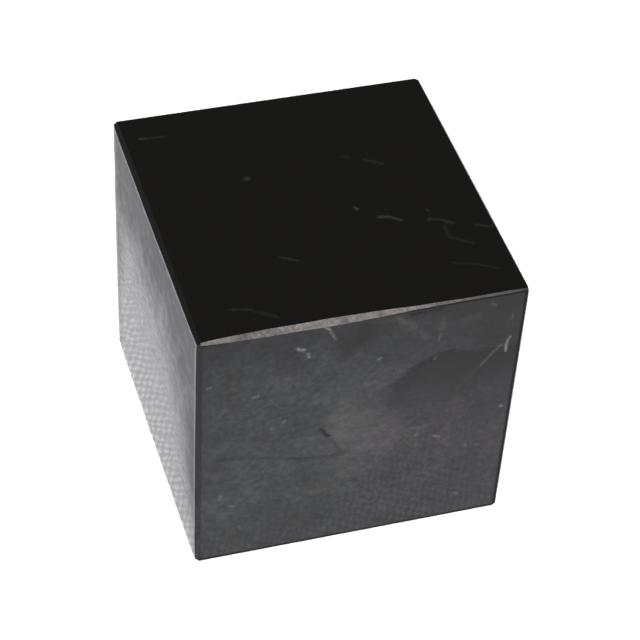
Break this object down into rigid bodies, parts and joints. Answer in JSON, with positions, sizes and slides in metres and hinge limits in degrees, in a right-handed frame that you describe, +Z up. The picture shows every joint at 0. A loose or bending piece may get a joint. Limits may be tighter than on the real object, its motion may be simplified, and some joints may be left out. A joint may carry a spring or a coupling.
{
  "type": "shungite cube",
  "caption": "Cube of polished black shungite stone, sawn slightly out of square, with narrow ground edges and corners; it stands on its flat bottom face.",
  "frame": {"origin": "middle of the bottom face, under the middle of the bounding box", "axes": "+Z up, the front face towards -Y, the right face towards +X"},
  "size_m": [0.051, 0.0508, 0.0493],
  "materials": {
    "polished_shungite": "polished, with fine scratches and matt ground edges"
  },
  "bodies": {
    "root": {"shungite_cube": "polished_shungite"}
  },
  "joints": []
}
